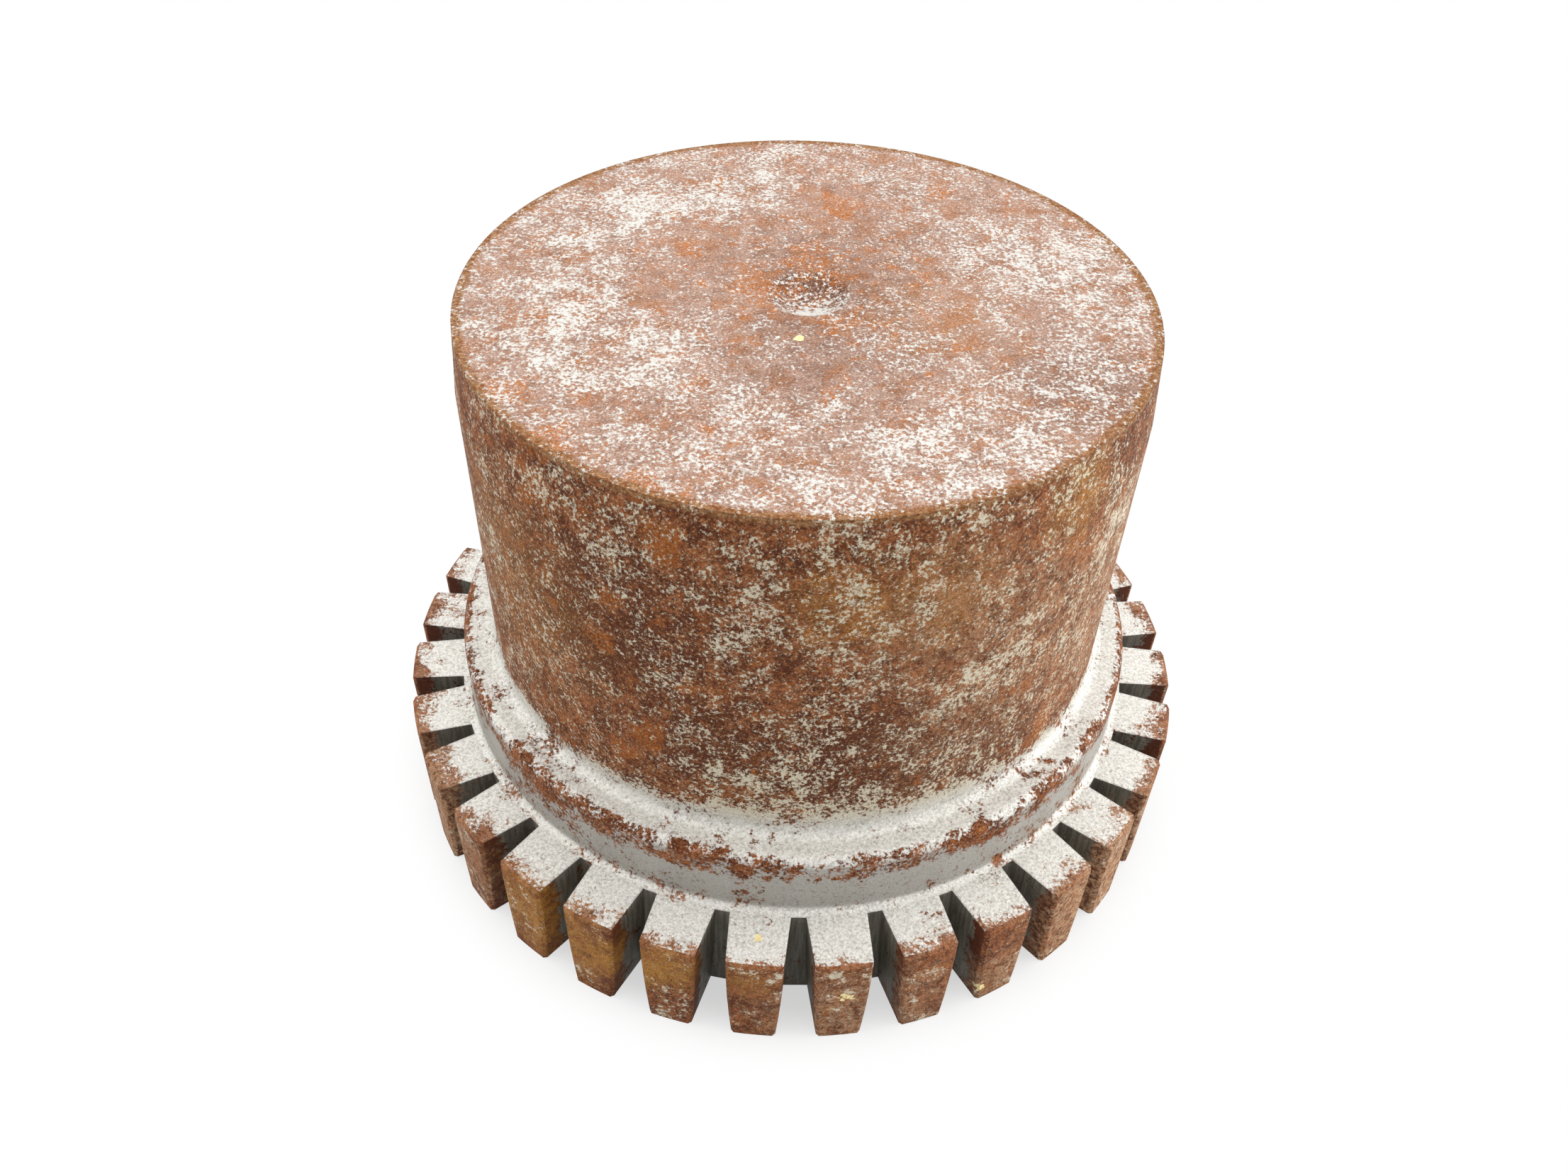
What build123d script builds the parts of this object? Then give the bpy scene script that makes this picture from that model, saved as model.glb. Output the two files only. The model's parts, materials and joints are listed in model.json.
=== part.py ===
"""Taper-grid shaft-coupling hub, unbored: one machined steel piece.

A plain barrel stands on a wider flange, with a collar between them. The end of the barrel is
turned down in a shallow lead, over which the seal of the coupling's cover slides on. The
flange's rim is cut into a ring of grid teeth. Their flanks curve apart towards the gap face, so
that the coupling's spring grid, which is woven through the slots, bends along them under load.
The hub is still solid: its shaft bore and keyway are cut later, by whoever fits it. The end of
the barrel keeps the shallow mark of the lathe centre.

The origin is the centre of the gap face, with +Z along the axis towards the barrel's end.
"""

from build123d import *
from math import isclose, radians, sqrt, tan
import os

# Driving dimensions, in millimetres and degrees.
hub_length = 76.2

barrel_diameter = 87.3
barrel_foot_radius = 1.6
lead_length = 8.6
lead_angle = 5.0

collar_step = 4.65  # how far the collar stands out from the barrel
collar_height = 9.8  # how far it stands up from the back of the flange
collar_edge_radius = 1.3
collar_foot_radius = 1.1

flange_thickness = 16.3

tooth_count = 32
root_land = 1.2  # from the collar out to the roots of the slots
slot_depth = 7.45
slot_root_width = 1.95
slot_mouth_width = 4.0
slot_flare = 0.7  # how far each flank has moved sideways at the gap face
tooth_edge_break = 0.45  # along the rim, at the back and down both sides of a tooth

centre_mark_diameter = 10.4
centre_mark_depth = 1.3

overrun = 1.0  # how far a cut runs past the faces that it opens

# Derived sizes, from the axis outwards and from the gap face upwards.
barrel_radius = barrel_diameter / 2
end_radius = barrel_radius - lead_length * tan(radians(lead_angle))
collar_radius = barrel_radius + collar_step
root_radius = collar_radius + root_land
flange_radius = root_radius + slot_depth
collar_top = flange_thickness + collar_height
slot_taper = (slot_mouth_width - slot_root_width) / 2 / slot_depth

# A flank leaves the back of the flange along the axis, as an arc, and has moved sideways by
# the flare where it meets the gap face. The cut carries the arc on below that face.
flank_radius = (flange_thickness**2 + slot_flare**2) / (2 * slot_flare)
cut_flare = flank_radius - sqrt(flank_radius**2 - (flange_thickness + overrun) ** 2)

# The ball that leaves a mark of this diameter and depth.
mark_ball_radius = (centre_mark_diameter**2 / 4 + centre_mark_depth**2) / (2 * centre_mark_depth)


def slot_section(radius, widening=0.0):
    """Outline of a slot, seen from outside, at this distance from the axis, widened both ways."""
    half_width = slot_root_width / 2 + slot_taper * (radius - root_radius) + widening
    back, front = flange_thickness, -overrun
    with BuildSketch(Plane(origin=(radius, 0, 0), x_dir=(0, 1, 0), z_dir=(1, 0, 0))) as section:
        with BuildLine():
            Polyline(
                (-half_width, back),
                (-half_width, back + overrun),
                (half_width, back + overrun),
                (half_width, back),
            )
            TangentArc((half_width, back), (half_width + cut_flare, front), tangent=(0, -1))
            Line((half_width + cut_flare, front), (-half_width - cut_flare, front))
            TangentArc((-half_width, back), (-half_width - cut_flare, front), tangent=(0, -1))
        make_face()
    return section.sketch


def ring(part, radius, height):
    """Pick the turned edge that has this radius and stands at this height."""
    level = part.edges().filter_by(GeomType.CIRCLE).filter_by_position(Axis.Z, height, height)
    return level.filter_by(lambda edge: isclose(edge.radius, radius))


# The shape that one slot removes: a wedge with curved flanks. Short of the rim it spreads at 45
# degrees, which breaks the teeth's edges there, and it runs out past the rim.
with BuildPart() as slot:
    add(slot_section(root_radius))
    add(slot_section(flange_radius - tooth_edge_break))
    add(slot_section(flange_radius + overrun, widening=tooth_edge_break + overrun))
    loft(ruled=True)

# The turned blank, with its two foot fillets, the collar's rounded edge and the rim's back edge
# broken.
with BuildPart() as hub:
    with BuildSketch(Plane.XZ):
        with BuildLine():
            Polyline(
                (0, 0),
                (flange_radius, 0),
                (flange_radius, flange_thickness),
                (collar_radius, flange_thickness),
                (collar_radius, collar_top),
                (barrel_radius, collar_top),
                (barrel_radius, hub_length - lead_length),
                (end_radius, hub_length),
                (0, hub_length),
                close=True,
            )
        make_face()
    revolve(axis=Axis.Z)

    fillet(ring(hub, collar_radius, flange_thickness), collar_foot_radius)
    fillet(ring(hub, collar_radius, collar_top), collar_edge_radius)
    fillet(ring(hub, barrel_radius, collar_top), barrel_foot_radius)
    chamfer(ring(hub, flange_radius, flange_thickness), tooth_edge_break)

    # The ring of grid teeth is what stands between the slots.
    with PolarLocations(0, tooth_count):
        add(slot.part, mode=Mode.SUBTRACT)

    with Locations((0, 0, hub_length - centre_mark_depth + mark_ball_radius)):
        Sphere(mark_ball_radius, mode=Mode.SUBTRACT)

hub.part.label = "hub"

os.makedirs("parts", exist_ok=True)
export_step(hub.part, "parts/hub.step")
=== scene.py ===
"""Looks of an unbored shaft-coupling hub: weathered machined steel on a pale studio floor.

The hub is one turned and slotted piece, and its shape comes from the CAD frame as it is. This
script gives it its finish, which changes over the surface as the weathering does: bare, satin
steel where tools and hands have kept it clean, and rust on the barrel, on the end face and
around the rim. Some of its colour is painted light: a pale sheen over the rust of the end face
and the tooth tops, shade on the collar's side, a highlight and shade in the centre mark, and
part of the light on the rims at the left. The floor, the lamps and the camera follow.

Lengths in Blender are metres in the CAD frame, with the origin in the centre of the gap face
and +Z towards the barrel's end. The finish works in millimetres.
"""

from __future__ import annotations

import json
import logging
import math
from dataclasses import dataclass, field
from enum import Enum
from typing import Any

import bpy
from mathutils import Matrix, Vector


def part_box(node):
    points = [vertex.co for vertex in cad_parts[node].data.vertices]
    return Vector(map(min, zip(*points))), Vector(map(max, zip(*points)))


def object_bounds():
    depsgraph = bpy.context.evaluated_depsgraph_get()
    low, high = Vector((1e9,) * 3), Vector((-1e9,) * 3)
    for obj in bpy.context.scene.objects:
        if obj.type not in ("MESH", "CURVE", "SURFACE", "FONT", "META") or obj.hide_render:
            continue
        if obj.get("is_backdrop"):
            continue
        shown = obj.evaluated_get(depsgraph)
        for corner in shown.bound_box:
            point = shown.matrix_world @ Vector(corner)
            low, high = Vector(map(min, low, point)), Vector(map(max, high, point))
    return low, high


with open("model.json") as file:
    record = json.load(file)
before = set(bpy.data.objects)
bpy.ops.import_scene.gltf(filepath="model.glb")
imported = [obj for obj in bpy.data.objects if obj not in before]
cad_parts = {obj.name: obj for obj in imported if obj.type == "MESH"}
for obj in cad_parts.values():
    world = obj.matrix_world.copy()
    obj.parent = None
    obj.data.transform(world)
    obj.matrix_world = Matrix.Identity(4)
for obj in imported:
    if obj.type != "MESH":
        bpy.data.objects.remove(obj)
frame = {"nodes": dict(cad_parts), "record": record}  # bodies, nodes, joints, record

log = logging.getLogger("hub")

Colour = tuple[float, float, float]
Place = tuple[float, float, float]

MM = 0.001
WHITE: Colour = (1.0, 1.0, 1.0)


class Zone(Enum):
    """The faces of the hub that weather in ways of their own."""

    END_FACE = "end face"
    END_EDGE = "end edge"
    CENTRE_MARK = "centre mark"
    BARREL = "barrel"
    COLLAR_TOP = "collar top"
    COLLAR_EDGE = "collar edge"
    COLLAR_SIDE = "collar side"
    TOOTH_TOP = "tooth top"
    RIM = "rim"
    FLANK = "flank"
    GAP_FACE = "gap face"


class Tone(Enum):
    """How a patch of the surface differs from what is around it."""

    PALE = "pale"
    RUSTY = "rusty"
    MAROON = "maroon"
    ORANGE = "orange"
    OCHRE = "ochre"
    DUSTY = "dusty"
    GRIT = "grit"


@dataclass(frozen=True)
class Span:
    """A stretch over which something sets in."""

    start: float
    stop: float


@dataclass(frozen=True)
class Lumps:
    """A noise's looks.

    Attributes:
        size: how far across the largest lumps are, in millimetres.
        detail: how many times they are broken into finer ones.
        rough: how strong the finer ones are.
    """

    size: float
    detail: float
    rough: float


class Signal:
    """One value in a shader. Expressions on it add the Math nodes that work them out."""

    def __init__(self, bench: Bench, socket: bpy.types.NodeSocket | None) -> None:
        """Wrap a socket of a node that stands on this bench.

        Args:
            bench: where the node stands.
            socket: its output, or None for a tree's last node.
        """
        self.bench = bench
        self.socket = socket

    def __add__(self, other: Signal | float) -> Signal:
        """Add."""
        return self.bench.maths("ADD", self, other)

    __radd__ = __add__

    def __sub__(self, other: Signal | float) -> Signal:
        """Subtract."""
        return self.bench.maths("SUBTRACT", self, other)

    def __rsub__(self, other: float) -> Signal:
        """Subtract from a number."""
        return self.bench.maths("SUBTRACT", other, self)

    def __mul__(self, other: Signal | float) -> Signal:
        """Multiply."""
        return self.bench.maths("MULTIPLY", self, other)

    __rmul__ = __mul__

    def __truediv__(self, other: Signal | float) -> Signal:
        """Divide."""
        return self.bench.maths("DIVIDE", self, other)

    def rise(self, span: Span, edge: float = 0.0) -> Signal:
        """Go smoothly from 0 to 1.

        Args:
            span: the stretch over which it rises.
            edge: what the stretch is measured from.

        Returns:
            0 before the stretch and 1 past it.
        """
        return self.bench.node(
            "ShaderNodeMapRange",
            {"interpolation_type": "SMOOTHSTEP"},
            {"Value": self, "From Min": edge + span.start, "From Max": edge + span.stop},
        )

    def fall(self, span: Span, edge: float = 0.0) -> Signal:
        """Go smoothly from 1 before a stretch to 0 past it."""
        return 1 - self.rise(span, edge)

    def within(self, span: Span, soft: float, edge: float = 0.0) -> Signal:
        """Pick out a band.

        Args:
            span: from where to where the band goes.
            soft: how far each of its borders spreads to both sides.
            edge: what the band is measured from.

        Returns:
            1 in the band and 0 outside.
        """
        first = Span(span.start - soft, span.start + soft)
        last = Span(span.stop - soft, span.stop + soft)
        return self.rise(first, edge) * self.fall(last, edge)

    def towards(self, other: Signal | float, share: Signal | float) -> Signal:
        """Go this share of the way to another value."""
        return self + (other - self) * share


class Bench:
    """The place where one material's nodes are put together."""

    MIX_INPUTS = {"factor": 0, "a": 6, "b": 7}
    MIX_COLOUR_OUTPUT = 2

    def __init__(self, tree: bpy.types.NodeTree) -> None:
        """Start on an empty tree."""
        tree.nodes.clear()
        self.tree = tree

    def node(
        self,
        kind: str,
        settings: dict[str, Any],
        inputs: dict[str | int, Any],
        output: str | int = 0,
    ) -> Signal:
        """Add a node.

        Args:
            kind: the node's type.
            settings: what is set before its sockets, such as its operation or a ramp's stops.
            inputs: the values or links of its sockets, by name or place.
            output: the socket that is passed on.

        Returns:
            That output, or nothing in it after a tree's last node.
        """
        made = self.tree.nodes.new(kind)
        for name, value in settings.items():
            setattr(made, name, value)
        for key, value in inputs.items():
            socket = made.inputs[key]
            if isinstance(value, Signal):
                self.tree.links.new(value.socket, socket)
            elif isinstance(value, tuple) and socket.type == "RGBA":
                socket.default_value = (*value, 1.0)
            else:
                socket.default_value = value
        return Signal(self, made.outputs[output] if made.outputs else None)

    def maths(self, operation: str, *values: Signal | float) -> Signal:
        """Add a Math node on these values."""
        return self.node("ShaderNodeMath", {"operation": operation}, dict(enumerate(values)))

    def vectors(
        self, operation: str, inputs: dict[str | int, Any], output: str = "Vector"
    ) -> Signal:
        """Add a Vector Math node on these inputs."""
        return self.node("ShaderNodeVectorMath", {"operation": operation}, inputs, output)

    def sockets(self, node: Signal, *names: str) -> list[Signal]:
        """Give the outputs of a node that has several.

        Args:
            node: any output of that node.
            names: the names of those that are wanted.

        Returns:
            The outputs, in the order of their names.
        """
        return [Signal(self, node.socket.node.outputs[name]) for name in names]

    def parts(self, vector: Signal) -> list[Signal]:
        """Give a vector's three parts."""
        return self.sockets(self.node("ShaderNodeSeparateXYZ", {}, {0: vector}), "X", "Y", "Z")

    def blend(self, first: Signal | Colour, second: Signal | Colour, share: Signal) -> Signal:
        """Blend two colours.

        Args:
            first: the colour where the share is 0.
            second: the colour where it is 1.
            share: the second colour's share.

        Returns:
            The blend.
        """
        places = self.MIX_INPUTS
        return self.node(
            "ShaderNodeMix",
            {"data_type": "RGBA"},
            {places["factor"]: share, places["a"]: first, places["b"]: second},
            self.MIX_COLOUR_OUTPUT,
        )

    def noise(self, place: Signal, lumps: Lumps) -> Signal:
        """Add a noise.

        Args:
            place: where on the hub, in millimetres.
            lumps: how its lumps look.

        Returns:
            The noise, from 0 to 1, with 0.5 as its mean.
        """
        return self.node(
            "ShaderNodeTexNoise",
            {},
            {
                "Vector": place,
                "Scale": 1 / lumps.size,
                "Detail": lumps.detail,
                "Roughness": lumps.rough,
            },
        )

    def swing(self, place: Signal, lumps: Lumps) -> Signal:
        """Add a noise that swings both ways from 0."""
        return self.noise(place, lumps) - 0.5


@dataclass(frozen=True)
class HubSizes:
    """Where the hub's faces lie, in millimetres, from the axis and up from the gap face."""

    hub_length: float
    rim_radius: float
    barrel_radius: float
    end_radius: float = 42.9
    barrel_foot: float = 27.7
    collar_top: float = 26.1
    collar_radius: float = 48.3
    flange_back: float = 16.3
    root_radius: float = 49.5
    mark_radius: float = 5.2

    @classmethod
    def from_frame(cls, node: str) -> HubSizes:
        """Take what the frame gives: the node's box and the barrel's mount.

        Args:
            node: the hub's CAD node.

        Returns:
            The sizes.
        """
        low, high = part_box(node)
        barrel = next(m for m in frame["record"]["mounts"] if m["name"] == "barrel")
        return cls(
            hub_length=(high.z - low.z) / MM,
            rim_radius=(high.x - low.x) / 2 / MM,
            barrel_radius=float(barrel["dims"]["r_mm"]),
        )


HUB = "hub"
SIZES = HubSizes.from_frame(HUB)


@dataclass(frozen=True)
class Patch:
    """A soft-edged patch of one tone, round a point on the hub, in millimetres."""

    tone: Tone
    centre: Place
    reach: float
    strength: float = 1.0

    @classmethod
    def on_end(cls, tone: Tone, x: float, y: float, reach: float, strength: float = 1.0) -> Patch:
        """Lay a patch on the end face."""
        return cls(tone, (x, y, SIZES.hub_length), reach, strength)

    @classmethod
    def on_barrel(
        cls, tone: Tone, azimuth: float, height: float, reach: float, strength: float = 1.0
    ) -> Patch:
        """Lay a patch on the barrel.

        Args:
            tone: how it differs from what is around it.
            azimuth: which way it faces, in degrees round from +X.
            height: how high its centre is.
            reach: how far it spreads.
            strength: how much it differs.

        Returns:
            The patch.
        """
        turn, out = math.radians(azimuth), SIZES.barrel_radius
        return cls(tone, (out * math.cos(turn), out * math.sin(turn), height), reach, strength)


@dataclass(frozen=True)
class Rust:
    """The colours that rust takes on this steel, how they are mottled, and a painted sheen over it
    on the end face and the tooth tops.

    The spans are the stretches of a noise over which a colour sets in, and the shares are how
    much of that colour there is then.
    """

    maroon: Colour = (0.096, 0.026, 0.010)
    brown: Colour = (0.285, 0.100, 0.037)
    shades: Lumps = Lumps(2.5, 5, 0.7)
    crumbs: Lumps = Lumps(0.5, 3, 0.7)
    maroon_span: Span = Span(0.41, 0.57)
    maroon_push: float = 0.06
    slot_push: float = 0.15

    orange: Colour = (0.300, 0.085, 0.013)
    embers: Lumps = Lumps(2.6, 4, 0.65)
    ember_push: float = 0.2
    ember_span: Span = Span(0.56, 0.68)
    ember_crumbs: Span = Span(0.40, 0.58)
    ember_share: float = 0.9
    ember_least: float = 0.1

    ochre: Colour = (0.360, 0.165, 0.033)
    scraps: Lumps = Lumps(1.3, 4, 0.7)
    scrap_span: Span = Span(0.4, 0.6)
    ochre_crumbs: Span = Span(0.35, 0.60)
    ochre_crumb_share: float = 0.35
    ochre_scrap_share: float = 0.4
    ochre_least: float = 0.1

    dust: Colour = (0.460, 0.285, 0.165)
    dust_lumps: Lumps = Lumps(0.8, 3, 0.7)
    dust_share: float = 0.75

    spark: Colour = (0.460, 0.290, 0.130)
    spark_lumps: Lumps = Lumps(0.35, 2, 0.7)
    spark_span: Span = Span(0.56, 0.66)
    spark_share: float = 0.5

    # Painted sheen: a pale veil over the end face's rust, in place of the light that the rust
    # reflects there.
    painted_sheen: Colour = (0.425, 0.285, 0.224)
    painted_sheen_lumps: Lumps = Lumps(1.6, 4, 0.65)
    painted_sheen_share: float = 0.35
    painted_sheen_least: float = 0.5
    painted_sheen_lost_in_mark: float = 0.55
    painted_sheen_lost_to_maroon: float = 0.4
    maroon_depth: Span = Span(0.0, 2.0)

    # Tan warms the painted sheen on the end face and is itself a painted sheen on the rust of the
    # tooth tops; flare is that painted sheen over orange rust.
    tan: Colour = (0.410, 0.215, 0.130)
    tan_lumps: Lumps = Lumps(3.5, 4, 0.65)
    tan_push: float = 0.1
    tan_span: Span = Span(0.49, 0.66)
    tan_sheen_on_teeth: float = 0.5
    tan_sheen_on_teeth_least: float = 0.1
    flare: Colour = (0.450, 0.180, 0.070)

    edge_dark: Colour = (0.195, 0.068, 0.020)
    edge_pale: Colour = (0.330, 0.177, 0.080)
    edge_lumps: Lumps = Lumps(0.7, 3, 0.7)

    middling: Span = Span(0.35, 0.65)
    grit: Colour = (0.83, 0.70, 0.36)
    grit_edge: Span = Span(0.4, 0.5)
    roughness: float = 0.7


@dataclass(frozen=True)
class Steel:
    """The bare metal: its colours, and how they are mottled and scored.

    The cutter's scores in the slots are lumps drawn out along the axis, because heights there
    are squeezed to the share score_squeeze.
    """

    clean: Colour = (0.73, 0.715, 0.67)
    dull: Colour = (0.50, 0.485, 0.44)
    dull_lumps: Lumps = Lumps(0.4, 3, 0.7)
    dull_span: Span = Span(0.4, 0.7)
    flecked: Colour = (0.60, 0.585, 0.545)
    tarnished: Colour = (0.61, 0.55, 0.42)
    # Painted shade: the collar's upright side is darker than the turned tops, for the less light
    # that reaches it.
    side: Colour = (0.42, 0.405, 0.37)

    soiled: Colour = (0.13, 0.11, 0.07)
    soil_specks: Lumps = Lumps(0.6, 3, 0.7)
    speck_span: Span = Span(0.56, 0.66)
    soil_areas: Lumps = Lumps(5.0, 3, 0.5)
    area_span: Span = Span(0.4, 0.6)
    soil_share: float = 0.45

    slot: Colour = (0.12, 0.112, 0.090)
    scored: Colour = (0.23, 0.215, 0.175)
    scores: Lumps = Lumps(0.5, 3, 0.7)
    score_span: Span = Span(0.35, 0.65)
    score_squeeze: float = 0.06

    roughness: float = 0.55
    metallic: float = 0.35
    specular: float = 0.12


@dataclass(frozen=True)
class Borders:
    """Where the hub's faces give way to each other.

    Heights and radii are millimetres from the edge between two faces. A direction is 1 where a
    face looks straight up, out or down, and 0 where it looks square to that.
    """

    upward: Span = Span(0.55, 0.85)
    outward: Span = Span(0.75, 0.95)
    downward: Span = Span(0.7, 0.9)
    off_rim: Span = Span(0.8, 0.9)

    flange_back: Span = Span(-0.1, 0.0)
    roots: Span = Span(-0.3, -0.1)
    rim: Span = Span(-0.6, -0.4)
    tooth_top: Span = Span(0.4, 1.5)

    end_face: Span = Span(-1.6, -1.4)
    end_edge: Span = Span(-1.5, -0.7)
    end_edge_lumps: Lumps = Lumps(1.2, 3, 0.6)
    end_edge_stray: float = 2.0
    lead: Span = Span(-1.0, -0.3)
    centre_mark: Span = Span(-0.4, 0.1)

    barrel_foot: Span = Span(-1.2, 3.2)
    collar_band: Span = Span(-3.8, 0.2)
    collar_band_soft: float = 1.1
    collar_edge: Span = Span(-1.5, -0.9)
    collar_side: Span = Span(-1.5, -0.5)
    collar_foot: Span = Span(0.5, 1.2)


@dataclass(frozen=True)
class Fleck:
    """One size of the flecks that rust breaks up into.

    Attributes:
        lumps: the noise that breaks it up.
        strength: how much that adds to the cover, or takes from it.
        on_collar: what the strength gains on top of the collar.
        on_end: what it gains on the end face.
    """

    lumps: Lumps
    strength: float
    on_collar: float = 0.0
    on_end: float = 0.0


@dataclass(frozen=True)
class Spread:
    """How far rust has spread: shares of the surface, and lengths in millimetres."""

    cover: dict[Zone, float] = field(
        default_factory=lambda: {
            Zone.BARREL: 0.583,
            Zone.END_FACE: 0.548,
            Zone.END_EDGE: 0.60,
            Zone.CENTRE_MARK: 0.49,
            Zone.COLLAR_TOP: 0.38,
            Zone.COLLAR_EDGE: 0.57,
            Zone.COLLAR_SIDE: 0.39,
            Zone.TOOTH_TOP: 0.35,
            Zone.RIM: 0.66,
            Zone.FLANK: 0.36,
            Zone.GAP_FACE: 0.45,
        }
    )
    over_teeth: float = 0.26
    teeth_start: float = 2.5
    teeth_stop: float = 0.5
    into_slots: float = 0.36
    slot_mouth: Span = Span(-4.0, -0.8)
    slot_foot: float = 0.08
    slot_foot_heights: Span = Span(2.6, 3.4)
    corner: float = 0.05
    corner_radii: Span = Span(0.0, 1.6)
    corner_radii_soft: float = 0.4
    corner_heights: Span = Span(-0.2, 1.6)
    corner_heights_soft: float = 0.3
    pale: float = 0.07
    rusty: float = 0.05
    flecks: tuple[Fleck, ...] = (
        Fleck(Lumps(7.0, 3, 0.6), 0.34, on_collar=0.3, on_end=-0.06),
        Fleck(Lumps(2.2, 3, 0.6), 0.38, on_collar=0.2, on_end=-0.1),
        Fleck(Lumps(0.48, 3, 0.75), 0.95, on_collar=-0.15),
    )
    bite: Span = Span(0.43, 0.56)


@dataclass(frozen=True)
class Texture:
    """How the surface feels.

    Attributes:
        grain: the finest lumps, which speckle the colours.
        speckle: how much they speckle bare steel.
        rust_speckle: how much more they speckle rust.
        uneven: how much they change bare steel's roughness.
        pits: the lumps that stand out.
        grain_height: how high the grain stands, against the pits.
        depth: how deep the pits are, in millimetres.
        bump: how strongly the light shows them.
        edge_wear: how far sharp edges look rounded, in millimetres.
        edge_samples: how closely the rounding is worked out.
    """

    grain: Lumps = Lumps(0.26, 3, 0.6)
    speckle: float = 0.9
    rust_speckle: float = 1.6
    uneven: float = 0.3
    pits: Lumps = Lumps(0.48, 3, 0.7)
    grain_height: float = 0.6
    depth: float = 0.09
    bump: float = 0.8
    edge_wear: float = 0.5
    edge_samples: int = 4


@dataclass(frozen=True)
class PatchEdge:
    """How the border of a patch fades and strays.

    Attributes:
        lumps: the noise by which it strays.
        stray: how far, as a share of the patch's reach.
        fade: where it fades, as shares of that reach.
    """

    lumps: Lumps
    stray: float
    fade: Span = Span(0.25, 1.0)


@dataclass(frozen=True)
class Ground:
    """What a shader knows of the point that it is at.

    Attributes:
        place: where it is, in millimetres.
        radius: how far from the axis.
        height: how high above the gap face.
        masks: 1 on each zone and 0 off it.
        tones: how strong the patches of each tone are.
    """

    place: Signal
    radius: Signal
    height: Signal
    masks: dict[Zone, Signal]
    tones: dict[Tone, Signal]


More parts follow.
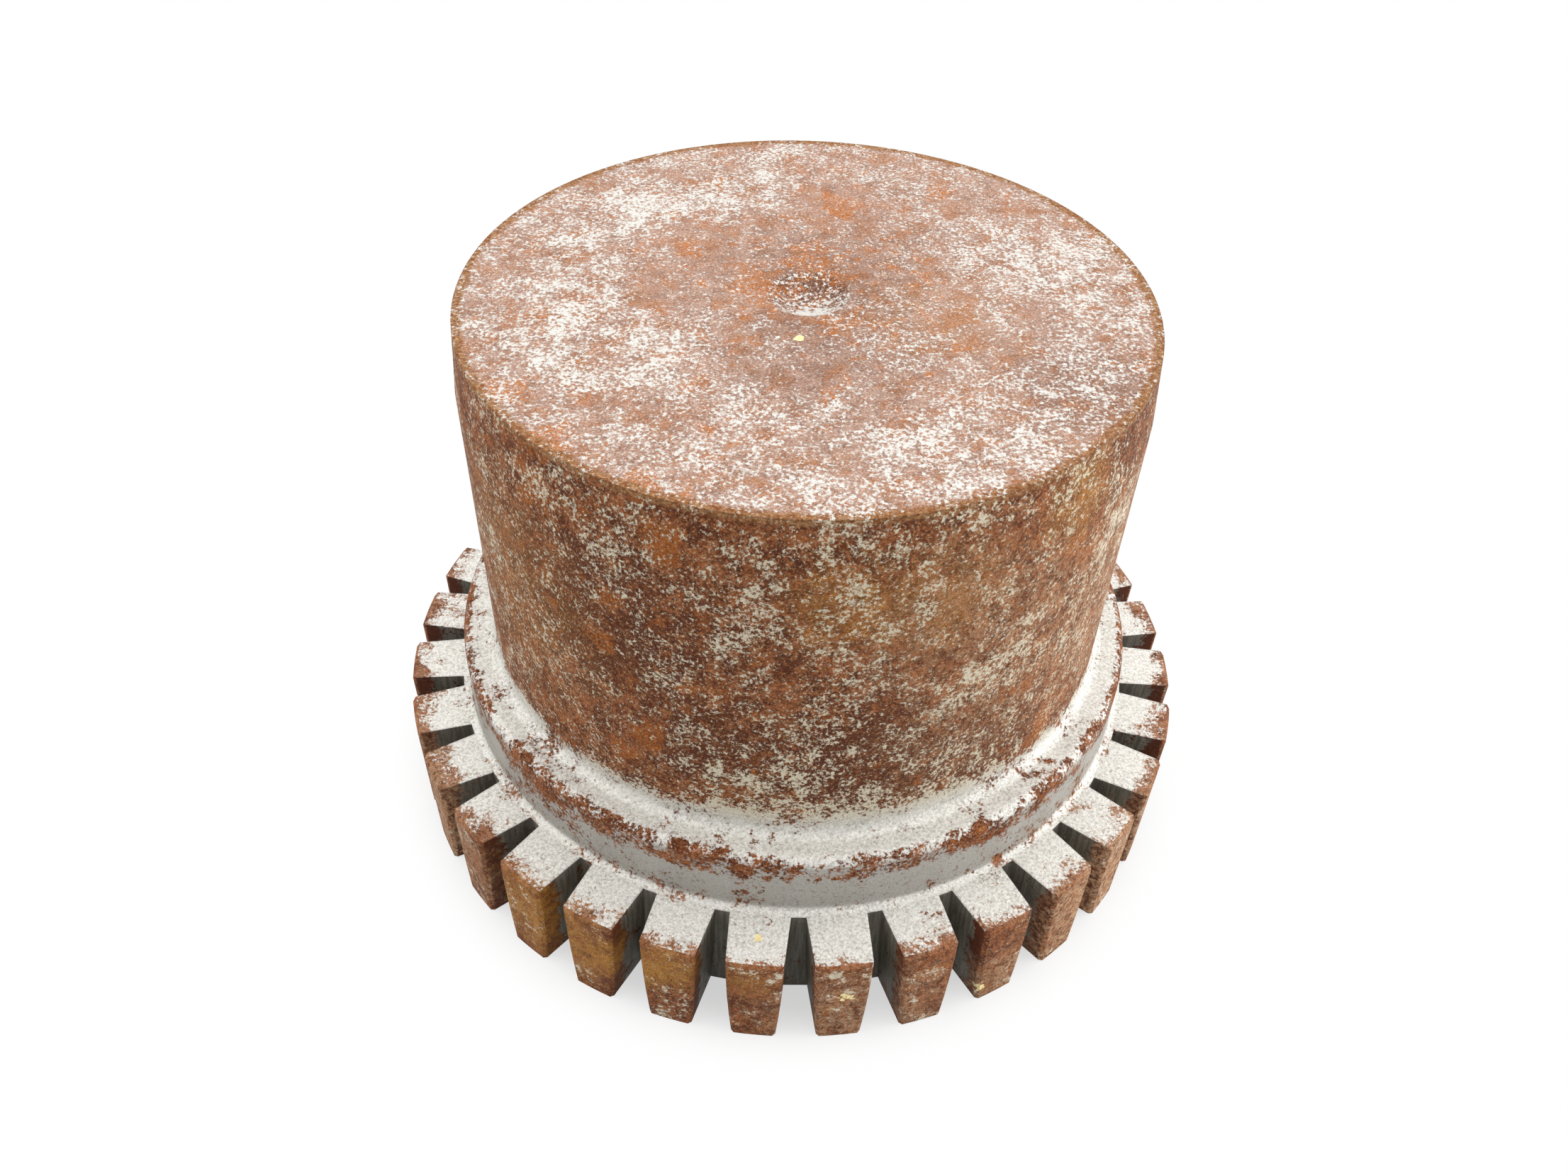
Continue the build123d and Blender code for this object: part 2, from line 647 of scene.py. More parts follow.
@dataclass(frozen=True)
class WeatheredSteel:
    """The hub's finish: machined steel, rusted where nothing has kept it clean, with some painted
    light and shade in its colours.
    """

    rust: Rust = field(default_factory=Rust)
    steel: Steel = field(default_factory=Steel)
    borders: Borders = field(default_factory=Borders)
    spread: Spread = field(default_factory=Spread)
    texture: Texture = field(default_factory=Texture)
    ragged: PatchEdge = PatchEdge(Lumps(2.2, 4, 0.65), 1.2)
    crumbly: PatchEdge = PatchEdge(Lumps(0.7, 2, 0.5), 2.2)
    patches: tuple[Patch, ...] = (
        # The end face.
        # Painted light in the centre mark: bare steel on its near wall paints the highlight that
        # wall catches, and maroon rust on its far wall paints its shade.
        Patch.on_end(Tone.PALE, -0.7, -3.4, 2.7, 2.6),
        Patch.on_end(Tone.PALE, 1.7, -3.0, 2.4, 2.0),
        Patch.on_end(Tone.MAROON, 0.4, 3.0, 6.0, 1.6),
        Patch.on_end(Tone.PALE, -30.0, 17.0, 9.0, 0.8),
        Patch.on_end(Tone.PALE, -20.0, 22.0, 9.0, 1.0),
        Patch.on_end(Tone.PALE, -9.0, 27.0, 9.0, 0.6),
        Patch.on_end(Tone.PALE, -28.0, -4.0, 10.0, 0.9),
        Patch.on_end(Tone.PALE, -24.0, -15.0, 11.0, 0.5),
        Patch.on_end(Tone.PALE, 32.0, 10.0, 13.0, 0.8),
        Patch.on_end(Tone.PALE, 28.0, -14.0, 9.0, 0.4),
        Patch.on_end(Tone.PALE, 9.0, -32.0, 12.0, 0.4),
        Patch.on_end(Tone.PALE, 22.0, -24.0, 8.0, 0.5),
        Patch.on_end(Tone.RUSTY, -13.0, 11.0, 11.0, 0.9),
        Patch.on_end(Tone.RUSTY, 4.0, 13.0, 13.0, 1.2),
        Patch.on_end(Tone.RUSTY, -8.0, 5.0, 9.0, 1.0),
        Patch.on_end(Tone.RUSTY, -16.0, 0.0, 9.0, 0.8),
        Patch.on_end(Tone.RUSTY, 5.0, 25.0, 9.0, 0.9),
        Patch.on_end(Tone.RUSTY, 12.0, 2.0, 12.0, 0.7),
        Patch.on_end(Tone.RUSTY, -2.0, -9.0, 14.0, 1.1),
        Patch.on_end(Tone.RUSTY, 3.0, -21.0, 11.0, 1.0),
        Patch.on_end(Tone.RUSTY, 21.0, -10.0, 13.0, 1.0),
        Patch.on_end(Tone.MAROON, 2.0, -12.0, 18.0, 1.0),
        Patch.on_end(Tone.RUSTY, 20.0, 26.0, 12.0, 0.7),
        Patch.on_end(Tone.RUSTY, 33.0, 22.0, 9.0, 0.6),
        Patch.on_end(Tone.MAROON, 31.0, -19.0, 14.0, 1.4),
        Patch.on_end(Tone.MAROON, 3.0, 6.0, 17.0, 1.2),
        # Painted shade on the far wall of the centre mark.
        Patch.on_end(Tone.RUSTY, 0.2, 3.4, 3.2, 0.8),
        Patch.on_end(Tone.ORANGE, 0.0, 4.0, 15.0, 0.55),
        Patch.on_end(Tone.ORANGE, -7.0, 0.5, 4.0),
        Patch.on_end(Tone.ORANGE, -15.0, 10.0, 3.0),
        Patch.on_end(Tone.ORANGE, 0.0, 8.0, 4.0),
        Patch.on_end(Tone.ORANGE, 4.5, 22.5, 5.5),
        Patch.on_end(Tone.ORANGE, 14.0, 3.5, 3.0),
        Patch.on_end(Tone.ORANGE, 19.0, 28.0, 4.0, 0.8),
        Patch.on_end(Tone.ORANGE, 3.0, -7.0, 3.5, 0.8),
        Patch.on_end(Tone.ORANGE, -34.0, -22.0, 5.0),
        Patch.on_end(Tone.ORANGE, -28.0, -30.0, 4.0),
        Patch.on_end(Tone.ORANGE, -18.0, -37.5, 4.0),
        Patch.on_end(Tone.ORANGE, -13.0, -20.0, 3.0, 0.8),
        Patch.on_end(Tone.ORANGE, 2.5, -20.0, 3.0, 0.8),
        Patch.on_end(Tone.ORANGE, 19.0, -29.0, 2.5, 0.8),
        Patch.on_end(Tone.OCHRE, 17.0, -5.0, 13.0, 0.5),
        # The barrel, on the side that is mostly seen.
        Patch.on_barrel(Tone.PALE, -98.0, 66.0, 8.0, 0.9),
        Patch.on_barrel(Tone.RUSTY, -54.0, 58.0, 9.0, 0.9),
        Patch.on_barrel(Tone.PALE, -60.0, 52.0, 9.0, 0.5),
        Patch.on_barrel(Tone.PALE, -38.0, 58.0, 13.0, 0.6),
        Patch.on_barrel(Tone.RUSTY, -71.0, 36.0, 11.0, 1.2),
        Patch.on_barrel(Tone.PALE, -78.0, 67.0, 9.0, 0.5),
        Patch.on_barrel(Tone.PALE, -99.0, 32.0, 9.0, 1.3),
        Patch.on_barrel(Tone.PALE, -90.0, 46.0, 9.0, 0.5),
        Patch.on_barrel(Tone.OCHRE, -86.0, 65.0, 9.0, 0.7),
        Patch.on_barrel(Tone.OCHRE, -72.0, 64.0, 11.0, 0.5),
        Patch.on_barrel(Tone.RUSTY, -71.0, 57.0, 8.0, 0.8),
        Patch.on_barrel(Tone.RUSTY, -85.0, 52.0, 7.0, 0.6),
        Patch.on_barrel(Tone.DUSTY, -66.0, 60.0, 18.0, 0.5),
        Patch.on_barrel(Tone.DUSTY, -65.0, 40.0, 15.0, 0.4),
        Patch.on_barrel(Tone.OCHRE, -48.0, 71.0, 8.0, 0.9),
        Patch.on_barrel(Tone.OCHRE, -145.0, 52.0, 22.0, 0.45),
        Patch.on_barrel(Tone.DUSTY, -34.0, 50.0, 26.0, 0.7),
        Patch.on_barrel(Tone.MAROON, -121.0, 56.0, 17.0, 1.2),
        Patch.on_barrel(Tone.MAROON, -82.0, 38.0, 16.0, 1.5),
        Patch.on_barrel(Tone.MAROON, -60.0, 35.0, 13.0, 1.3),
        Patch.on_barrel(Tone.MAROON, -104.0, 40.0, 12.0, 1.0),
        Patch.on_barrel(Tone.RUSTY, -122.0, 50.0, 11.0, 0.6),
        Patch.on_barrel(Tone.ORANGE, -134.0, 70.0, 5.0),
        Patch.on_barrel(Tone.ORANGE, -111.0, 70.5, 3.5, 1.3),
        Patch.on_barrel(Tone.ORANGE, -121.0, 60.0, 3.0),
        Patch.on_barrel(Tone.ORANGE, -123.0, 52.5, 3.5),
        Patch.on_barrel(Tone.ORANGE, -106.0, 50.0, 4.0, 0.8),
        Patch.on_barrel(Tone.ORANGE, -115.0, 39.5, 4.5),
        Patch.on_barrel(Tone.ORANGE, -120.0, 34.0, 3.0),
        Patch.on_barrel(Tone.ORANGE, -83.0, 63.0, 4.0, 0.8),
        Patch.on_barrel(Tone.ORANGE, -41.0, 61.0, 3.5, 1.2),
        Patch.on_barrel(Tone.ORANGE, -47.0, 64.0, 3.0),
        Patch.on_barrel(Tone.ORANGE, -45.0, 33.0, 3.5),
        # The barrel's far side.
        Patch.on_barrel(Tone.PALE, 12.0, 60.0, 11.0, 0.6),
        Patch.on_barrel(Tone.OCHRE, 24.0, 38.0, 13.0, 0.5),
        Patch.on_barrel(Tone.ORANGE, 38.0, 57.0, 4.0, 0.9),
        Patch.on_barrel(Tone.MAROON, 55.0, 48.0, 16.0, 0.8),
        Patch.on_barrel(Tone.PALE, 74.0, 64.0, 12.0, 0.7),
        Patch.on_barrel(Tone.ORANGE, 88.0, 41.0, 4.5, 0.8),
        Patch.on_barrel(Tone.OCHRE, 102.0, 66.0, 12.0, 0.6),
        Patch.on_barrel(Tone.MAROON, 125.0, 40.0, 15.0, 0.8),
        Patch.on_barrel(Tone.PALE, 140.0, 58.0, 10.0, 0.6),
        Patch.on_barrel(Tone.ORANGE, 158.0, 63.0, 4.0, 0.9),
        Patch.on_barrel(Tone.OCHRE, 175.0, 44.0, 14.0, 0.5),
        # The teeth and the collar.
        # Partly painted light: besides its ochre, this patch lightens the rims on the left side,
        # where more light falls on them.
        Patch(Tone.OCHRE, (-32.7, -46.7, 9.5), 14.0, 1.4),
        Patch(Tone.OCHRE, (20.0, 53.0, 9.0), 12.0, 1.0),
        Patch(Tone.OCHRE, (-50.0, 27.0, 8.0), 13.0, 1.0),
        Patch(Tone.DUSTY, (48.0, 30.0, 8.0), 18.0, 0.8),
        Patch(Tone.OCHRE, (-22.0, -52.6, 9.0), 7.0, 1.2),
        Patch(Tone.OCHRE, (-16.7, -54.5, 12.5), 6.5, 1.4),
        Patch(Tone.OCHRE, (-6.0, -56.7, 12.5), 5.0, 0.8),
        Patch(Tone.ORANGE, (17.0, -54.5, 12.0), 3.5),
        # Partly painted light: besides its dust, this patch lightens the rims on the left side,
        # where more light falls on them.
        Patch(Tone.DUSTY, (-50.0, -27.0, 8.0), 20.0, 1.2),
        Patch(Tone.DUSTY, (42.0, -38.0, 8.0), 22.0, 1.5),
        Patch(Tone.DUSTY, (27.0, -50.0, 3.0), 9.0, 0.8),
        Patch(Tone.DUSTY, (8.0, -56.0, 2.0), 19.0, 0.9),
        Patch(Tone.RUSTY, (-32.0, -39.0, 23.0), 12.0, 1.6),
        Patch(Tone.PALE, (10.0, -47.0, 25.5), 25.0, 1.2),
        Patch(Tone.PALE, (0.0, -51.5, 18.0), 9.0, 1.3),
        Patch(Tone.PALE, (5.4, -54.0, 16.3), 5.0, 1.6),
        Patch(Tone.PALE, (-5.4, -54.0, 16.3), 5.0, 1.2),
        Patch(Tone.PALE, (48.0, -25.5, 16.3), 6.0, 1.4),
        Patch(Tone.RUSTY, (50.3, -26.7, 9.0), 8.0, 0.9),
        Patch(Tone.PALE, (-35.0, -43.0, 16.3), 6.0, 0.8),
        Patch(Tone.PALE, (-16.0, -52.0, 16.3), 5.0, 0.8),
        Patch(Tone.RUSTY, (16.5, -53.0, 16.3), 5.0, 1.0),
        Patch(Tone.RUSTY, (-49.0, -26.0, 16.3), 5.0, 1.0),
        # Crumbs of dirt.
        Patch.on_end(Tone.GRIT, -1.3, -10.0, 0.8),
        Patch(Tone.GRIT, (24.3, -51.5, 3.0), 1.1),
        Patch(Tone.GRIT, (6.0, -56.6, 9.5), 1.2),
        Patch(Tone.GRIT, (-5.0, -52.5, 16.3), 0.7),
    )

    def material(self) -> bpy.types.Material:
        """Make the material.

        Returns:
            The material, for every slot of the hub.
        """
        material = bpy.data.materials.new("weathered_steel")
        material.use_nodes = True
        bench = Bench(material.node_tree)
        ground = self.ground(bench)
        rusted = self.rusted(bench, ground)
        grain = bench.noise(ground.place, self.texture.grain)
        bare = (1 - rusted) * (1 - ground.masks[Zone.FLANK])
        uneven = (grain - 0.5) * self.texture.uneven + self.steel.roughness
        shader = bench.node(
            "ShaderNodeBsdfPrincipled",
            {},
            {
                "Base Color": self.colour(bench, ground, rusted, grain),
                "Metallic": bare * self.steel.metallic,
                "Roughness": uneven.towards(self.rust.roughness, rusted),
                "Specular IOR Level": self.steel.specular,
                "Normal": self.relief(bench, ground, grain),
            },
        )
        bench.node("ShaderNodeOutputMaterial", {}, {"Surface": shader})
        return material

    def ground(self, bench: Bench) -> Ground:
        """Work out where on the hub the shader is.

        Args:
            bench: where the nodes go.

        Returns:
            The place, with its zones and patches.
        """
        at = bench.node("ShaderNodeTexCoord", {}, {}, "Object")
        place = bench.vectors("SCALE", {0: at, "Scale": 1 / MM})
        x, y, height = bench.parts(place)
        radius = bench.maths("SQRT", x * x + y * y)
        masks = self.masks(bench, place, radius)
        return Ground(place, radius, height, masks, self.tones(bench, place))

    def masks(self, bench: Bench, place: Signal, radius: Signal) -> dict[Zone, Signal]:
        """Tell the hub's faces apart.

        Args:
            bench: where the nodes go.
            place: the place on the hub.
            radius: how far that is from the axis.

        Returns:
            A mask for each zone but the barrel, which is what they leave. Where they overlap,
            a later one goes over an earlier one.
        """
        s, b = SIZES, self.borders
        x, y, z = bench.parts(place)
        nx, ny, nz = bench.parts(bench.node("ShaderNodeTexCoord", {}, {}, "Normal"))
        up = nz.rise(b.upward)
        out = ((nx * x + ny * y) / radius).rise(b.outward)
        down = (0 - nz).rise(b.downward)
        flange = z.fall(b.flange_back, s.flange_back)
        teeth = flange * radius.rise(b.roots, s.root_radius)
        rim = radius.rise(b.rim, s.rim_radius) * (nz.fall(b.off_rim) - down)
        end = up * z.rise(b.end_face, s.hub_length)
        stray = bench.swing(place, b.end_edge_lumps) * b.end_edge_stray
        turned_edge = end * (radius + stray).rise(b.end_edge, s.end_radius)
        side = z.fall(b.collar_side, s.collar_top) * radius.fall(b.collar_foot, s.collar_radius)
        band = z.within(b.collar_band, b.collar_band_soft, s.collar_top)
        return {
            Zone.END_FACE: end,
            Zone.END_EDGE: turned_edge + out * z.rise(b.lead, s.hub_length),
            Zone.CENTRE_MARK: end * radius.fall(b.centre_mark, s.mark_radius),
            Zone.COLLAR_TOP: z.fall(b.barrel_foot, s.barrel_foot),
            Zone.COLLAR_SIDE: side * out,
            Zone.COLLAR_EDGE: band * radius.rise(b.collar_edge, s.collar_radius),
            Zone.TOOTH_TOP: up * z.fall(b.tooth_top, s.flange_back),
            Zone.RIM: rim,
            Zone.FLANK: teeth * (1 - up) * (1 - rim) * (1 - down),
            Zone.GAP_FACE: down,
        }

    def tones(self, bench: Bench, place: Signal) -> dict[Tone, Signal]:
        """Add up the patches of each tone.

        Args:
            bench: where the nodes go.
            place: the place on the hub.

        Returns:
            How strong each tone is.
        """
        kinds = (self.ragged, self.crumbly)
        strays = {edge: bench.swing(place, edge.lumps) * edge.stray for edge in kinds}
        sums: dict[Tone, Signal] = {}
        for patch in self.patches:
            edge = self.crumbly if patch.tone is Tone.GRIT else self.ragged
            away = bench.vectors("DISTANCE", {0: place, 1: patch.centre}, "Value")
            mask = (away / patch.reach + strays[edge]).fall(edge.fade) * patch.strength
            sums[patch.tone] = sums[patch.tone] + mask if patch.tone in sums else mask
        return sums

    def rusted(self, bench: Bench, ground: Ground) -> Signal:
        """Tell where rust has taken hold.

        Args:
            bench: where the nodes go.
            ground: the place on the hub.

        Returns:
            1 on rust and 0 on bare steel, with sharp, ragged borders.
        """
        s, spread = SIZES, self.spread
        masks, tones = ground.masks, ground.tones
        amount: Signal | float = spread.cover[Zone.BARREL]
        for zone, mask in masks.items():
            amount = amount + (spread.cover[zone] - amount) * mask
        inwards = Span(s.root_radius + spread.teeth_start, s.rim_radius + spread.teeth_stop)
        over_teeth = masks[Zone.TOOTH_TOP] * ground.radius.rise(inwards)
        into_slots = masks[Zone.FLANK] * ground.radius.rise(spread.slot_mouth, s.rim_radius)
        slot_foot = masks[Zone.FLANK] * ground.height.fall(spread.slot_foot_heights)
        corner = ground.radius.within(
            spread.corner_radii, spread.corner_radii_soft, s.collar_radius
        ) * ground.height.within(spread.corner_heights, spread.corner_heights_soft, s.flange_back)
        amount = amount + over_teeth * spread.over_teeth + into_slots * spread.into_slots
        amount = amount + slot_foot * spread.slot_foot + corner * spread.corner
        amount = amount - tones[Tone.PALE] * spread.pale + tones[Tone.RUSTY] * spread.rusty
        for fleck in spread.flecks:
            strength = masks[Zone.COLLAR_TOP] * fleck.on_collar + fleck.strength
            strength = strength + masks[Zone.END_FACE] * fleck.on_end
            amount = amount + bench.swing(ground.place, fleck.lumps) * strength
        return amount.rise(spread.bite)

    def colour(self, bench: Bench, ground: Ground, rusted: Signal, grain: Signal) -> Signal:
        """Put the steel's and the rust's colours together, with their speckle and the dirt.

        Args:
            bench: where the nodes go.
            ground: the place on the hub.
            rusted: 1 on rust and 0 on bare steel.
            grain: the finest noise.

        Returns:
            The surface's colour.
        """
        steel = self.steel_colour(bench, ground)
        colour = bench.blend(steel, self.rust_colour(bench, ground), rusted)
        colour = bench.blend(
            colour, self.rust.grit, ground.tones[Tone.GRIT].rise(self.rust.grit_edge)
        )
        strength = rusted * self.texture.rust_speckle + self.texture.speckle
        return bench.vectors("SCALE", {0: colour, "Scale": (grain - 0.5) * strength + 1.0})

    def relief(self, bench: Bench, ground: Ground, grain: Signal) -> Signal:
        """Give the surface its pits and its softened edges.

        Args:
            bench: where the nodes go.
            ground: the place on the hub.
            grain: the finest noise.

        Returns:
            The surface's direction.
        """
        texture = self.texture
        height = bench.noise(ground.place, texture.pits) + grain * texture.grain_height
        worn = bench.node(
            "ShaderNodeBevel", {"samples": texture.edge_samples}, {"Radius": texture.edge_wear * MM}
        )
        return bench.node(
            "ShaderNodeBump",
            {},
            {
                "Height": height,
                "Distance": texture.depth * MM,
                "Strength": texture.bump,
                "Normal": worn,
            },
        )

    def rust_colour(self, bench: Bench, ground: Ground) -> Signal:
        """Give the rust its colours, from maroon to orange and ochre.

        Args:
            bench: where the nodes go.
            ground: the place on the hub.

        Returns:
            The rust's colour, wherever there is rust.
        """
        r, place = self.rust, ground.place
        masks, tones = ground.masks, ground.tones
        open_faces = 1 - masks[Zone.FLANK]
        crumbs = bench.noise(place, r.crumbs)
        scraps = bench.noise(place, r.scraps).rise(r.scrap_span)

        depth = (bench.noise(place, r.shades) + crumbs) * 0.5
        depth = depth + tones[Tone.MAROON] * r.maroon_push + masks[Zone.FLANK] * r.slot_push
        colour = bench.blend(r.brown, r.maroon, depth.rise(r.maroon_span))

        embers = bench.noise(place, r.embers) + tones[Tone.ORANGE] * r.ember_push
        broken = crumbs.rise(r.ember_crumbs) * r.ember_share + r.ember_least
        glow = embers.rise(r.ember_span) * broken * open_faces
        colour = bench.blend(colour, r.orange, glow)

        ochre = crumbs.rise(r.ochre_crumbs) * r.ochre_crumb_share + r.ochre_least
        ochre = tones[Tone.OCHRE] * (ochre + scraps * r.ochre_scrap_share)
        colour = bench.blend(colour, r.ochre, ochre)

        dust = tones[Tone.DUSTY] * bench.noise(place, r.dust_lumps).rise(r.middling)
        colour = bench.blend(colour, r.dust, dust * r.dust_share)

        sparks = bench.noise(place, r.spark_lumps).rise(r.spark_span) * r.spark_share
        colour = bench.blend(colour, r.spark, sparks * open_faces)

        # Painted sheen over the rust of the end face.
        colour = bench.blend(
            colour, self.painted_sheen_colour(bench, ground, glow), self.painted_sheen_share(bench, ground)
        )
        # Painted sheen: paler tan on the rust of the upward tooth tops.
        tan = masks[Zone.TOOTH_TOP] * (scraps * r.tan_sheen_on_teeth + r.tan_sheen_on_teeth_least)
        colour = bench.blend(colour, r.tan, tan)

        mottled = bench.noise(place, r.edge_lumps).rise(r.middling)
        edge = bench.blend(r.edge_dark, r.edge_pale, mottled)
        return bench.blend(colour, edge, masks[Zone.END_EDGE])

    def painted_sheen_colour(self, bench: Bench, ground: Ground, glow: Signal) -> Signal:
        """Give the colour of the painted sheen that lies over the rust on the end face: a pale veil
        in place of the light that it reflects.

        Args:
            bench: where the nodes go.
            ground: the place on the hub.
            glow: where the rust below is orange.

        Returns:
            The painted sheen's colour.
        """
        r = self.rust
        warm = bench.noise(ground.place, r.tan_lumps) + ground.tones[Tone.OCHRE] * r.tan_push
        painted_sheen = bench.blend(r.painted_sheen, r.tan, warm.rise(r.tan_span))
        return bench.blend(painted_sheen, r.flare, glow)

    def painted_sheen_share(self, bench: Bench, ground: Ground) -> Signal:
        """Tell how strong the painted sheen is: weaker in the centre mark and where rust is maroon.

        Args:
            bench: where the nodes go.
            ground: the place on the hub.

        Returns:
            Its share of the colour.
        """
        r, masks = self.rust, ground.masks
        share = bench.noise(ground.place, r.painted_sheen_lumps).rise(r.middling) * r.painted_sheen_share
        share = (share + r.painted_sheen_least) * masks[Zone.END_FACE]
        share = share * (1 - masks[Zone.CENTRE_MARK] * r.painted_sheen_lost_in_mark)
        maroon = ground.tones[Tone.MAROON].rise(r.maroon_depth)
        return share * (1 - maroon * r.painted_sheen_lost_to_maroon)

    def steel_colour(self, bench: Bench, ground: Ground) -> Signal:
        """Give the bare steel its colours: clean on the turned faces, with painted shade on the
        collar side, and dark in the slots.

        Args:
            bench: where the nodes go.
            ground: the place on the hub.

        Returns:
            The steel's colour, wherever it is bare.
        """
        steel, place, masks = self.steel, ground.place, ground.masks
        dull = bench.noise(place, steel.dull_lumps).rise(steel.dull_span)
        turned = bench.blend(steel.clean, steel.dull, dull)
        handled = masks[Zone.COLLAR_TOP] * (1 - masks[Zone.RIM])
        colour = bench.blend(steel.tarnished, turned, handled)
        colour = bench.blend(colour, steel.flecked, masks[Zone.END_FACE])
        # Painted shade on the collar's upright side.
        colour = bench.blend(colour, steel.side, masks[Zone.COLLAR_SIDE])

        specks = bench.noise(place, steel.soil_specks).rise(steel.speck_span)
        soil = specks * bench.noise(place, steel.soil_areas).rise(steel.area_span)
        soil = soil * masks[Zone.COLLAR_TOP] * steel.soil_share
        colour = bench.blend(colour, steel.soiled, soil)

        along = bench.vectors("MULTIPLY", {0: place, 1: (1.0, 1.0, steel.score_squeeze)})
        scores = bench.noise(along, steel.scores).rise(steel.score_span)
        return bench.blend(
            colour, bench.blend(steel.slot, steel.scored, scores), masks[Zone.FLANK]
        )


@dataclass
class Hub:
    """The hub itself: one CAD node, shown as it is."""

    node: str = HUB
    finish: WeatheredSteel = field(default_factory=WeatheredSteel)

    def dress(self) -> None:
        """Give every face of the hub its finish."""
        material = self.finish.material()
        mesh = frame["nodes"][self.node].data
        mesh.materials.clear()
        mesh.materials.append(material)
        log.info("%s: %d faces in %s", self.node, len(mesh.polygons), material.name)


def heading(azimuth: float, elevation: float) -> Vector:
    """Give the direction that lies at an azimuth and elevation.

    Args:
        azimuth: degrees round from +X.
        elevation: degrees up from level.

    Returns:
        The direction, one unit long.
    """
    turn, lift = math.radians(azimuth), math.radians(elevation)
    level = math.cos(lift)
    return Vector((level * math.cos(turn), level * math.sin(turn), math.sin(lift)))


@dataclass(frozen=True)
class Softbox:
    """A square lamp that looks at the hub, with its distance and size in metres."""

    name: str
    azimuth: float
    elevation: float
    distance: float
    size: float
    watts: float

    def hang(self, aim: Vector) -> None:
        """Hang the lamp.

        Args:
            aim: the point that it looks at.
        """
        away = heading(self.azimuth, self.elevation)
        lamp = bpy.data.lights.new(self.name, "AREA")
        lamp.shape = "SQUARE"
        lamp.size = self.size
        lamp.energy = self.watts
        held = bpy.data.objects.new(self.name, lamp)
        bpy.context.scene.collection.objects.link(held)
        held.location = aim + away * self.distance
        held.rotation_euler = (-away).to_track_quat("-Z", "Y").to_euler()
        held.visible_camera = False
        log.info("%s: %.1f W", self.name, self.watts)


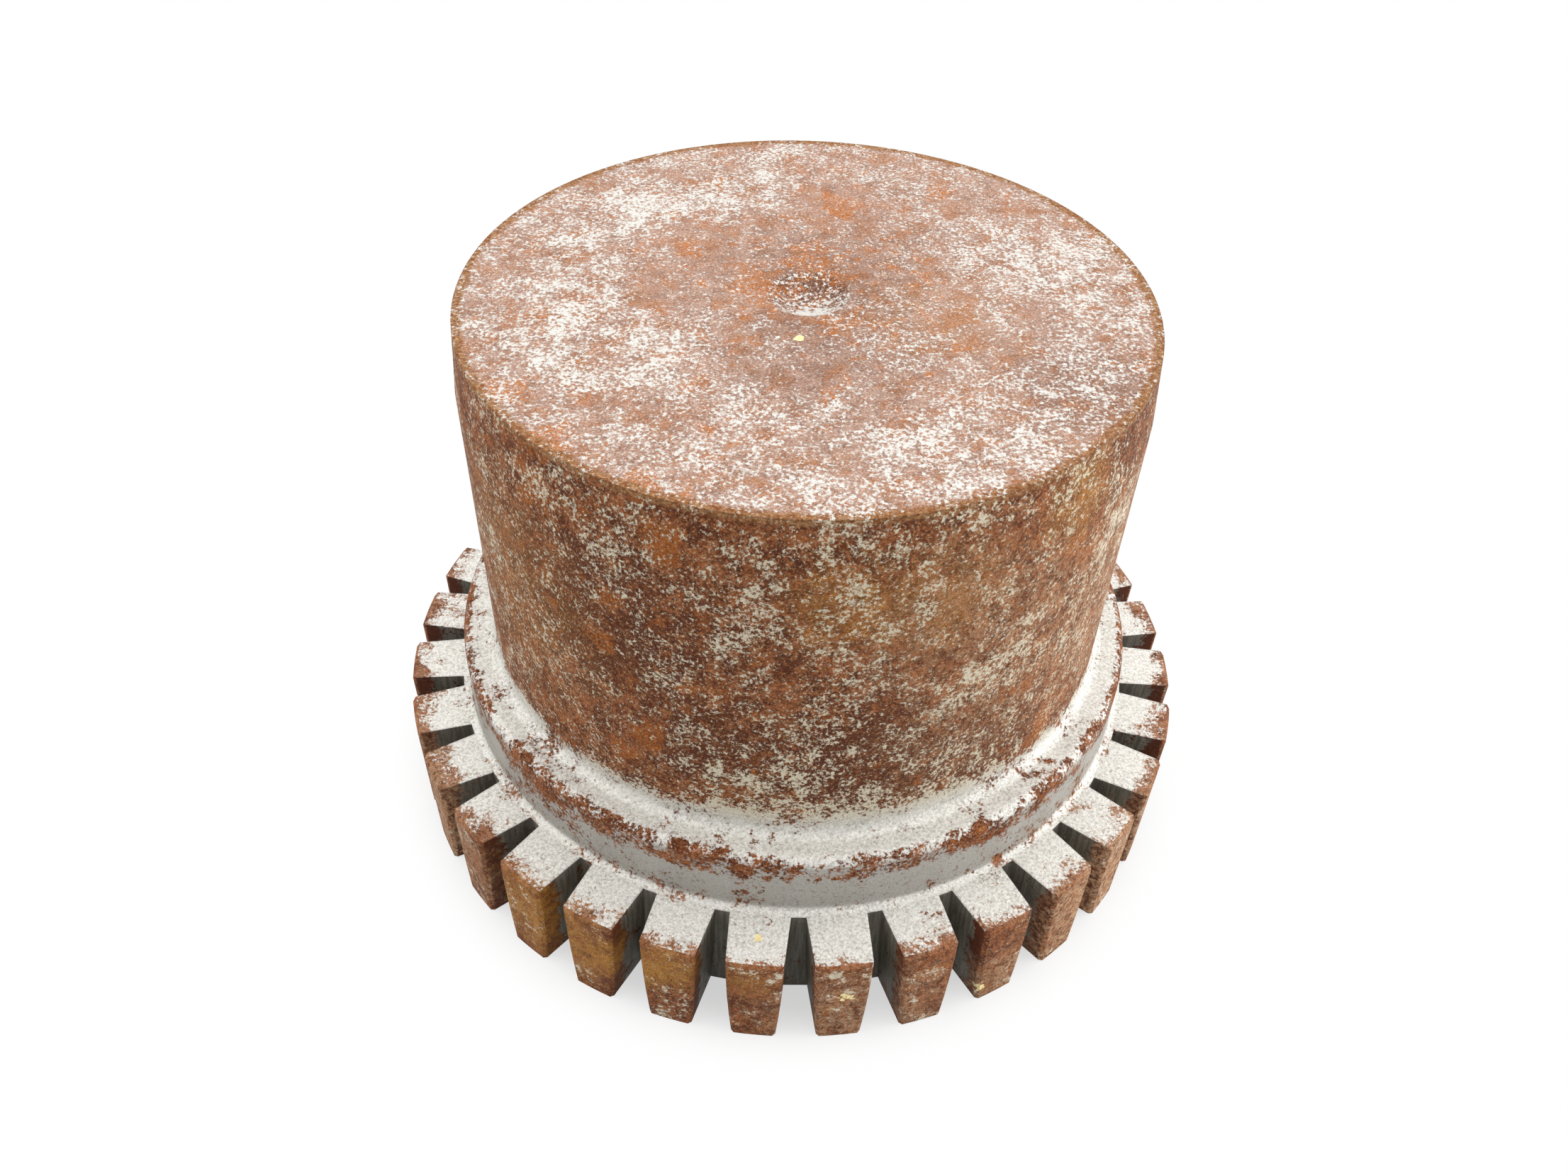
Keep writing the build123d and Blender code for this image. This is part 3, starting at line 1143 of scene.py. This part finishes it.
@dataclass(frozen=True)
class Studio:
    """A white floor under soft lamps.

    Attributes:
        floor_width: the floor's width, in metres.
        floor_gap: how far below the hub it lies, so that the two don't share a plane.
        floor_colour: its colour where it takes the hub's shadow.
        ambient: how strong the room's light is on the hub.
        veil_near: how much of the floor's shadow is veiled by white next to the hub.
        veil_reach: from where to where the veil closes, in metres from the axis.
        lamps: the lamps.
    """

    floor_width: float = 6.0
    floor_gap: float = 0.00005
    floor_colour: Colour = (0.86, 0.86, 0.86)
    ambient: float = 0.42
    veil_near: float = 0.56
    veil_reach: Span = Span(0.052, 0.064)
    lamps: tuple[Softbox, ...] = (
        Softbox("top_softbox", 70.0, 76.0, distance=0.7, size=0.9, watts=5.7),
        Softbox("right_softbox", 0.0, 11.0, distance=0.8, size=0.6, watts=6.4),
        Softbox("left_softbox", 178.0, 36.0, distance=0.8, size=0.6, watts=2.4),
    )

    def build(self, low: Vector, high: Vector) -> None:
        """Lay the floor, light the room and hang the lamps.

        Args:
            low: the lowest corner of the whole object.
            high: its highest corner.
        """
        self.lay_floor(low.z - self.floor_gap)
        self.light_room()
        for lamp in self.lamps:
            lamp.hang((low + high) / 2)

    def seen(self, bench: Bench) -> Signal:
        """Tell the rays that look at the room from those that light the hub.

        Args:
            bench: where the nodes go.

        Returns:
            1 for a ray from the camera, or one that metal or glass passes on, and 0 otherwise.
        """
        path = bench.node("ShaderNodeLightPath", {}, {})
        camera, glossy, through = bench.sockets(
            path, "Is Camera Ray", "Is Glossy Ray", "Is Transmission Ray"
        )
        return bench.maths("MAXIMUM", bench.maths("MAXIMUM", camera, glossy), through)

    def lay_floor(self, level: float) -> None:
        """Lay the floor.

        Args:
            level: how high it lies.
        """
        half = self.floor_width / 2
        outline = ((-half, -half), (half, -half), (half, half), (-half, half))
        mesh = bpy.data.meshes.new("floor")
        mesh.from_pydata([(x, y, level) for x, y in outline], [], [(0, 1, 2, 3)])
        floor = bpy.data.objects.new("floor", mesh)
        bpy.context.scene.collection.objects.link(floor)
        mesh.materials.append(self.floor_material())
        floor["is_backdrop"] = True
        log.info("floor: %.1f m wide", self.floor_width)

    def floor_material(self) -> bpy.types.Material:
        """Make a floor that keeps a soft shadow by the hub and is white further off.

        Returns:
            The material.
        """
        material = bpy.data.materials.new("floor_white")
        material.use_nodes = True
        bench = Bench(material.node_tree)
        at = bench.node("ShaderNodeTexCoord", {}, {}, "Object")
        far = bench.vectors("LENGTH", {0: at}, "Value").rise(self.veil_reach)
        veil = (far * (1 - self.veil_near) + self.veil_near) * self.seen(bench)
        lit = bench.node("ShaderNodeBsdfDiffuse", {}, {"Color": self.floor_colour})
        white = bench.node("ShaderNodeEmission", {}, {"Color": WHITE, "Strength": 1.0})
        shader = bench.node("ShaderNodeMixShader", {}, {0: veil, 1: lit, 2: white})
        bench.node("ShaderNodeOutputMaterial", {}, {"Surface": shader})
        return material

    def light_room(self) -> None:
        """Fill the room with plain white light."""
        world = bpy.data.worlds.new("room")
        world.use_nodes = True
        bpy.context.scene.world = world
        bench = Bench(world.node_tree)
        strength = self.seen(bench) * (1 - self.ambient) + self.ambient
        light = bench.node("ShaderNodeBackground", {}, {"Color": WHITE, "Strength": strength})
        bench.node("ShaderNodeOutputWorld", {}, {"Surface": light})
        log.info("room: light at %.2f", self.ambient)


@dataclass(frozen=True)
class StudioCamera:
    """The camera, which stands over the front of the hub and looks down on its end face.

    Its place is in millimetres and degrees.
    """

    aim: Place = (-1.63, 0.08, 26.68)
    distance: float = 194.63
    azimuth: float = -92.07
    elevation: float = 43.19
    roll: float = 2.145
    focal_length: float = 30.165
    sensor_width: float = 36.0
    nearest: float = 10.0

    def set_up(self) -> None:
        """Stand the camera in its place and look through it."""
        away = heading(self.azimuth, self.elevation)
        data = bpy.data.cameras.new("camera")
        data.sensor_fit = "HORIZONTAL"
        data.sensor_width = self.sensor_width
        data.lens = self.focal_length
        data.clip_start = self.nearest * MM
        camera = bpy.data.objects.new("camera", data)
        bpy.context.scene.collection.objects.link(camera)
        stand = Matrix.Translation((Vector(self.aim) + away * self.distance) * MM)
        look = (-away).to_track_quat("-Z", "Y").to_matrix().to_4x4()
        roll = Matrix.Rotation(math.radians(self.roll), 4, "Z")
        camera.matrix_world = stand @ look @ roll
        bpy.context.scene.camera = camera
        log.info("camera: %.1f mm lens", self.focal_length)


def main() -> None:
    """Dress the hub and set up the studio round the object's size."""
    logging.basicConfig(level=logging.INFO, format="%(name)s: %(message)s")
    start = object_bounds()
    Hub().dress()
    low, high = (Vector(corner) for corner in start)
    Studio().build(low, high)
    StudioCamera().set_up()
    bpy.context.scene.view_settings.view_transform = "Standard"


if __name__ == "__main__":
    main()
